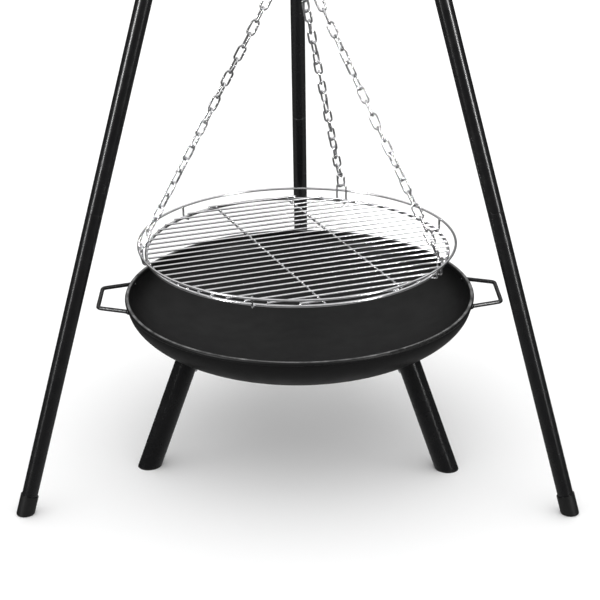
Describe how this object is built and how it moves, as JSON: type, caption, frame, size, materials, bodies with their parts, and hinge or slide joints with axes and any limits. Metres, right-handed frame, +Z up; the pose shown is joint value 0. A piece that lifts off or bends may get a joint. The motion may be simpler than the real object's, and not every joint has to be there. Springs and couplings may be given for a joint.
{
  "type": "campfire tripod grill",
  "caption": "Three-legged steel tripod with a round wire grate hung on chains from its head, over a free-standing steel fire bowl on splayed tube legs.",
  "frame": {"origin": "middle of the overall box on the ground, in the plane of the feet", "axes": "+Z up; -Y is the open front between the left and right legs; +X to the right of a cook who faces +Y"},
  "size_m": [0.9072, 0.7895, 1.485],
  "materials": {
    "powder_coat_black": "glossy black powder coat",
    "bowl_steel": "satin heat-proof black paint on steel",
    "chrome_wire": "bright chrome plate",
    "zinc_plated": "bright zinc plate",
    "black_plastic": "fine-grained black plastic"
  },
  "bodies": {
    "head": {"head_plate": "powder_coat_black", "leg_bracket_left": "powder_coat_black", "leg_bracket_right": "powder_coat_black", "leg_bracket_back": "powder_coat_black", "hinge_bolts": "zinc_plated", "hinge_washers": "zinc_plated", "hinge_nuts": "zinc_plated", "eye_bolt": "zinc_plated", "eye_bolt_washer": "zinc_plated", "eye_bolt_nut": "zinc_plated"},
    "leg_left": {"leg_left_lower_tube": "powder_coat_black", "leg_left_middle_tube": "powder_coat_black", "leg_left_upper_tube": "powder_coat_black", "leg_left_foot_cap": "black_plastic"},
    "leg_right": {"leg_right_lower_tube": "powder_coat_black", "leg_right_middle_tube": "powder_coat_black", "leg_right_upper_tube": "powder_coat_black", "leg_right_foot_cap": "black_plastic"},
    "leg_back": {"leg_back_lower_tube": "powder_coat_black", "leg_back_middle_tube": "powder_coat_black", "leg_back_upper_tube": "powder_coat_black", "leg_back_foot_cap": "black_plastic"},
    "oval_link": {"oval_link": "zinc_plated", "oval_link_nut": "zinc_plated"},
    "swivel": {"swivel_eye": "zinc_plated"},
    "chain": {"swivel_pin": "zinc_plated", "main_chain": "chrome_wire"},
    "grate": {"chain_grab": "chrome_wire", "strand_chain_left": "chrome_wire", "strand_chain_right": "chrome_wire", "strand_chain_back": "chrome_wire", "hook_left": "chrome_wire", "hook_right": "chrome_wire", "hook_back": "chrome_wire", "grate_loop_left": "chrome_wire", "grate_loop_right": "chrome_wire", "grate_loop_back": "chrome_wire", "grate_lower_ring": "chrome_wire", "grate_guard_ring": "chrome_wire", "grate_bars": "chrome_wire", "grate_cross_bars": "chrome_wire", "grate_posts": "chrome_wire"},
    "bowl": {"bowl_shell": "bowl_steel", "bowl_handle_left": "powder_coat_black", "bowl_handle_right": "powder_coat_black", "bowl_leg_left": "powder_coat_black", "bowl_leg_right": "powder_coat_black", "bowl_leg_back": "powder_coat_black", "bowl_leg_cap_left": "black_plastic", "bowl_leg_cap_right": "black_plastic", "bowl_leg_cap_back": "black_plastic", "bowl_leg_sockets": "powder_coat_black", "bowl_leg_screws": "zinc_plated"}
  },
  "joints": [
    {"name": "leg_left_fold", "type": "hinge", "parent": "head", "child": "leg_left", "pos_m": [-0.05084, -0.15585, 1.44392], "axis": [0.5, -0.866, 0], "range_deg": [0, 2]},
    {"name": "leg_right_fold", "type": "hinge", "parent": "head", "child": "leg_right", "pos_m": [0.05084, -0.15585, 1.44392], "axis": [-0.5, -0.866, 0], "range_deg": [-2, 0]},
    {"name": "leg_back_fold", "type": "hinge", "parent": "head", "child": "leg_back", "pos_m": [0, -0.0678, 1.44392], "axis": [1, 0, 0], "range_deg": [-2, 0]},
    {"name": "oval_link_swing", "type": "hinge", "parent": "head", "child": "oval_link", "pos_m": [0, -0.1265, 1.44205], "axis": [1, 0, 0], "range_deg": [-1.5, 1.5]},
    {"name": "swivel_sway", "type": "hinge", "parent": "oval_link", "child": "swivel", "pos_m": [0, -0.1265, 1.3955], "axis": [0, -1, 0], "range_deg": [-2.5, 2.5]},
    {"name": "chain_spin", "type": "hinge", "parent": "swivel", "child": "chain", "pos_m": [0, -0.1265, 1.3655], "axis": [0, 0, 1], "continuous": true},
    {"name": "grate_height", "type": "slide", "parent": "chain", "child": "grate", "axis": [0, 0, 1], "range_m": [0, 0.27]},
    {"name": "bowl_pull_out", "type": "slide", "parent": "head", "child": "bowl", "axis": [0, -1, 0], "range_m": [0, 0.75]}
  ]
}
